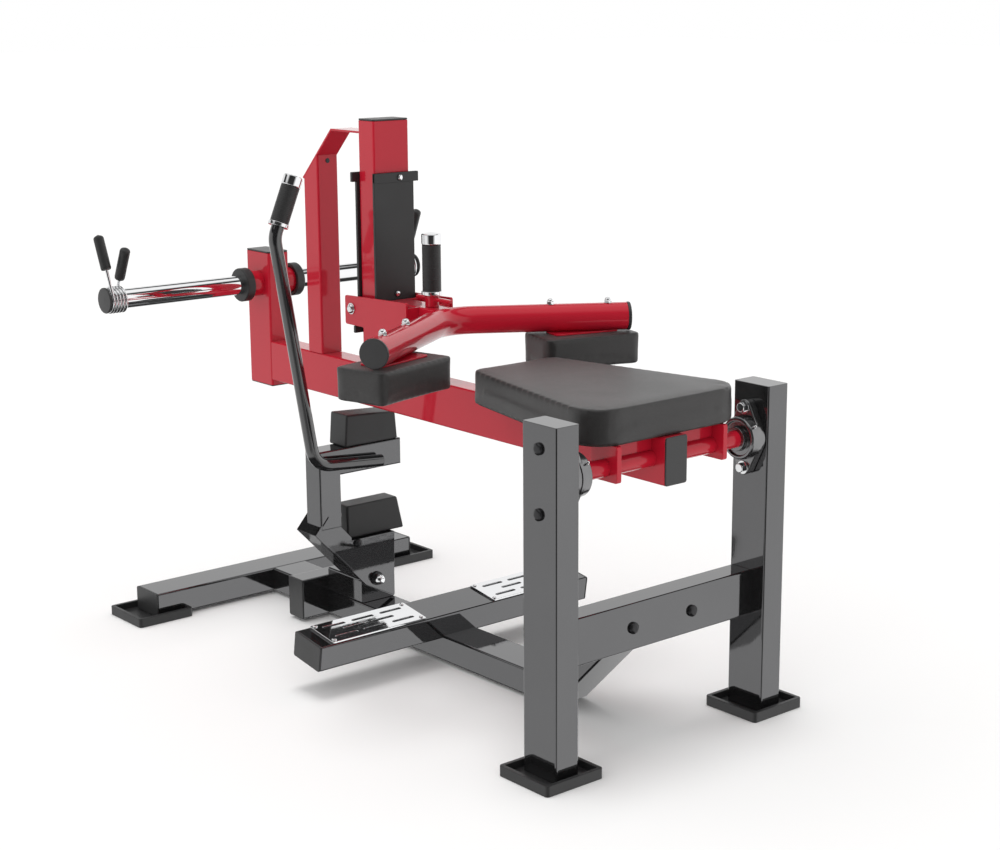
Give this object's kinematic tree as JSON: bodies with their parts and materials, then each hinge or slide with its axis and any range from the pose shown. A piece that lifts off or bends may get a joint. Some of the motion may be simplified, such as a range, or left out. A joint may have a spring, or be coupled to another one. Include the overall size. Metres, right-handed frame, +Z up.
{
  "type": "seated calf raise machine",
  "caption": "Plate-loaded seated calf raise machine: a pivoting lever carries seat, sliding thigh pads and weight horns, with a swing-away catch stand and slotted tread plates.",
  "frame": {"origin": "middle of the footprint on the floor: halfway between the outer edges of the rear and front feet, between the two rear posts", "axes": "+X to the right of the seated person, +Y forward from the seat to the weight horns, +Z up"},
  "size_m": [0.929, 1.57, 1.24],
  "materials": {
    "frame_paint": "gloss dark grey powder coat",
    "lever_paint": "gloss red powder coat",
    "black_paint": "gloss black powder coat",
    "rubber": "matte black rubber",
    "black_plastic": "matte black moulded plastic",
    "vinyl": "dark grey brown vinyl over foam",
    "chrome": "polished chrome plate",
    "cast_iron": "painted casting",
    "plywood": "black plywood seat board"
  },
  "bodies": {
    "base": {"rear_post_left": "frame_paint", "rear_post_right": "frame_paint", "rear_foot_left": "rubber", "rear_foot_right": "rubber", "front_foot_left": "rubber", "front_foot_right": "rubber", "bearing_housing_left": "cast_iron", "bearing_housing_right": "cast_iron", "rear_cross_tube": "frame_paint", "centre_tube": "frame_paint", "catch_cross_tube": "frame_paint", "catch_pivot_block": "frame_paint", "front_floor_tube": "frame_paint", "floor_tube_cap_left": "black_plastic", "floor_tube_cap_right": "black_plastic", "foot_bar": "frame_paint", "foot_bar_cap_left": "black_plastic", "foot_bar_cap_right": "black_plastic", "tread_plate_left": "chrome", "tread_plate_right": "chrome"},
    "lever": {"lever_beam": "lever_paint", "lever_beam_cap": "black_plastic", "pivot_shaft": "lever_paint", "pivot_gusset_left": "lever_paint", "pivot_gusset_right": "lever_paint", "seat_board": "plywood", "seat_pad": "vinyl", "weight_post": "lever_paint", "weight_post_cap": "black_plastic", "weight_horn_left": "chrome", "weight_horn_right": "chrome", "horn_stop_ring_left": "rubber", "horn_stop_ring_right": "rubber", "horn_end_cap_left": "black_plastic", "horn_end_cap_right": "black_plastic", "main_post": "lever_paint", "main_post_cap": "black_plastic", "guide_plate_rear": "black_plastic", "guide_plate_front": "black_plastic", "brace_post": "lever_paint", "brace_plate": "lever_paint"},
    "carriage": {"carriage_neck": "lever_paint", "carriage_bolt": "chrome", "carriage_cheek_left": "lever_paint", "carriage_cheek_right": "lever_paint", "v_tube": "lever_paint", "v_tube_cap_left": "black_plastic", "v_tube_cap_right": "black_plastic", "thigh_pad_left": "vinyl", "thigh_pad_right": "vinyl", "hand_grip": "rubber"},
    "release": {"release_lever": "lever_paint"},
    "catch": {"catch_stand": "frame_paint", "upper_bumper": "rubber", "lower_bumper": "rubber", "catch_handle": "black_paint", "catch_grip": "rubber", "catch_pivot_bolt": "chrome"},
    "collar_left": {"spring_collar_left": "chrome"},
    "collar_right": {"spring_collar_right": "chrome"}
  },
  "joints": [
    {"name": "lever_tilt", "type": "hinge", "parent": "base", "child": "lever", "pos_m": [0, -0.7105, 0.612], "axis": [1, 0, 0], "range_deg": [-1, 12]},
    {"name": "carriage_slide", "type": "slide", "parent": "lever", "child": "carriage", "axis": [0, 0, 1], "range_m": [0, 0.25]},
    {"name": "release_squeeze", "type": "hinge", "parent": "carriage", "child": "release", "pos_m": [0, 0.0365, 0.842], "axis": [-1, 0, 0], "range_deg": [0, 6], "stiffness_Nm_per_rad": 2, "springref_deg": -2.86},
    {"name": "catch_swing", "type": "hinge", "parent": "base", "child": "catch", "pos_m": [-0.01, 0.2615, 0.126], "axis": [0, -1, 0], "range_deg": [0, 15]},
    {"name": "collar_slide_left", "type": "slide", "parent": "lever", "child": "collar_left", "axis": [1, 0, 0], "range_m": [0, 0.31]},
    {"name": "collar_slide_right", "type": "slide", "parent": "lever", "child": "collar_right", "axis": [-1, 0, 0], "range_m": [0, 0.31]}
  ]
}
